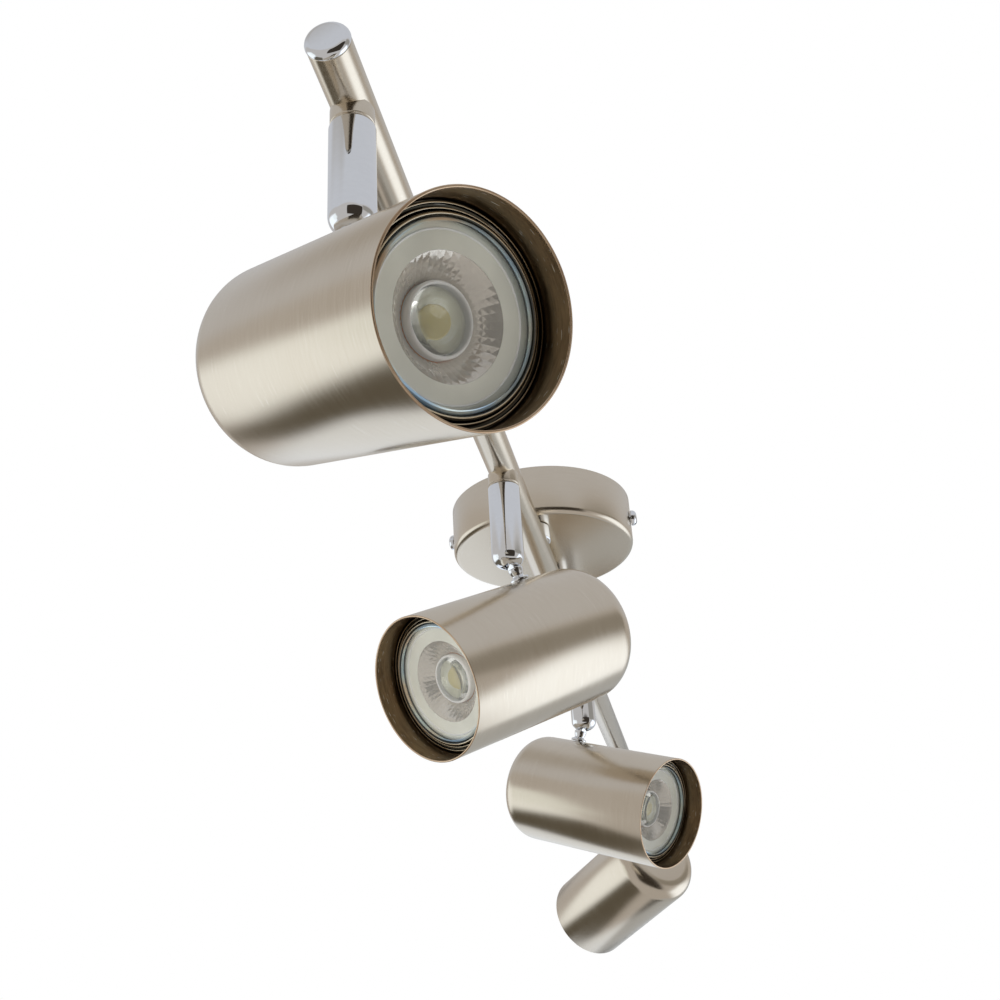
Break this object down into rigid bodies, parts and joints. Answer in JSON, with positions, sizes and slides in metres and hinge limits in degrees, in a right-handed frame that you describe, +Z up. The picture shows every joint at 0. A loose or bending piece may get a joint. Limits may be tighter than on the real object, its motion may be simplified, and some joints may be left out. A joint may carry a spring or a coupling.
{
  "type": "track lighting fixture",
  "caption": "Straight ceiling bar on a round rose, with cylindrical spot lamps on short stems that swivel and tilt.",
  "frame": {"origin": "centre of the ceiling bracket's flat top, in the plane of the ceiling", "axes": "+Z up into the ceiling, +X along the bar from lamp 1 to lamp 4, +Y across the bar"},
  "size_m": [0.797, 0.1231, 0.1744],
  "materials": {
    "satin_nickel": "satin brushed nickel plate on steel",
    "polished_chrome": "polished chrome plate",
    "zinc_steel": "zinc-plated steel",
    "brass_contact": "plain brass",
    "white_plastic": "moulded white thermoplastic",
    "dark_ring": "dark coated spring steel",
    "ceramic": "glazed white ceramic",
    "lamp_glass": "clear glass over a moulded lens"
  },
  "bodies": {
    "mount_and_bar": {"ceiling_bracket": "zinc_steel", "rose_cup": "satin_nickel", "terminal_block": "white_plastic", "earth_screw": "brass_contact", "rose_screw_left": "polished_chrome", "rose_screw_right": "polished_chrome", "spacer_near": "polished_chrome", "stud_near": "zinc_steel", "stud_nut_near": "zinc_steel", "spacer_far": "polished_chrome", "stud_far": "zinc_steel", "stud_nut_far": "zinc_steel", "bar": "satin_nickel", "end_cap_near": "polished_chrome", "end_cap_far": "polished_chrome", "collar_1": "satin_nickel", "collar_2": "satin_nickel", "collar_3": "satin_nickel", "collar_4": "satin_nickel"},
    "swivel_1": {"stem_1": "polished_chrome", "spigot_1": "zinc_steel", "hinge_pin_1": "zinc_steel"},
    "lamp_1": {"knuckle_1": "polished_chrome", "shell_1": "satin_nickel", "shell_nut_1": "zinc_steel", "retaining_ring_1": "dark_ring", "lamp_body_1": "white_plastic", "lamp_lens_1": "lamp_glass", "lampholder_1": "ceramic"},
    "swivel_2": {"stem_2": "polished_chrome", "spigot_2": "zinc_steel", "hinge_pin_2": "zinc_steel"},
    "lamp_2": {"knuckle_2": "polished_chrome", "shell_2": "satin_nickel", "shell_nut_2": "zinc_steel", "retaining_ring_2": "dark_ring", "lamp_body_2": "white_plastic", "lamp_lens_2": "lamp_glass", "lampholder_2": "ceramic"},
    "swivel_3": {"stem_3": "polished_chrome", "spigot_3": "zinc_steel", "hinge_pin_3": "zinc_steel"},
    "lamp_3": {"knuckle_3": "polished_chrome", "shell_3": "satin_nickel", "shell_nut_3": "zinc_steel", "retaining_ring_3": "dark_ring", "lamp_body_3": "white_plastic", "lamp_lens_3": "lamp_glass", "lampholder_3": "ceramic"},
    "swivel_4": {"stem_4": "polished_chrome", "spigot_4": "zinc_steel", "hinge_pin_4": "zinc_steel"},
    "lamp_4": {"knuckle_4": "polished_chrome", "shell_4": "satin_nickel", "shell_nut_4": "zinc_steel", "retaining_ring_4": "dark_ring", "lamp_body_4": "white_plastic", "lamp_lens_4": "lamp_glass", "lampholder_4": "ceramic"}
  },
  "joints": [
    {"name": "swivel_turn_1", "type": "hinge", "parent": "mount_and_bar", "child": "swivel_1", "pos_m": [-0.3375, 0, -0.036], "axis": [0, 0, 1], "range_deg": [-175, 175]},
    {"name": "lamp_tilt_1", "type": "hinge", "parent": "swivel_1", "child": "lamp_1", "pos_m": [-0.3375, 0, -0.0785], "axis": [0.7716, -0.6361, 0], "range_deg": [-20.5, 69.5]},
    {"name": "swivel_turn_2", "type": "hinge", "parent": "mount_and_bar", "child": "swivel_2", "pos_m": [-0.1125, 0, -0.036], "axis": [0, 0, 1], "range_deg": [-175, 175]},
    {"name": "lamp_tilt_2", "type": "hinge", "parent": "swivel_2", "child": "lamp_2", "pos_m": [-0.1125, 0, -0.0785], "axis": [-0.6561, -0.7547, 0], "range_deg": [-26.5, 63.5]},
    {"name": "swivel_turn_3", "type": "hinge", "parent": "mount_and_bar", "child": "swivel_3", "pos_m": [0.1125, 0, -0.036], "axis": [0, 0, 1], "range_deg": [-175, 175]},
    {"name": "lamp_tilt_3", "type": "hinge", "parent": "swivel_3", "child": "lamp_3", "pos_m": [0.1125, 0, -0.0785], "axis": [0.891, -0.454, 0], "range_deg": [-21.5, 68.5]},
    {"name": "swivel_turn_4", "type": "hinge", "parent": "mount_and_bar", "child": "swivel_4", "pos_m": [0.3375, 0, -0.036], "axis": [0, 0, 1], "range_deg": [-175, 175]},
    {"name": "lamp_tilt_4", "type": "hinge", "parent": "swivel_4", "child": "lamp_4", "pos_m": [0.3375, 0, -0.0785], "axis": [-0.6428, 0.766, 0], "range_deg": [-12.5, 77.5]}
  ]
}
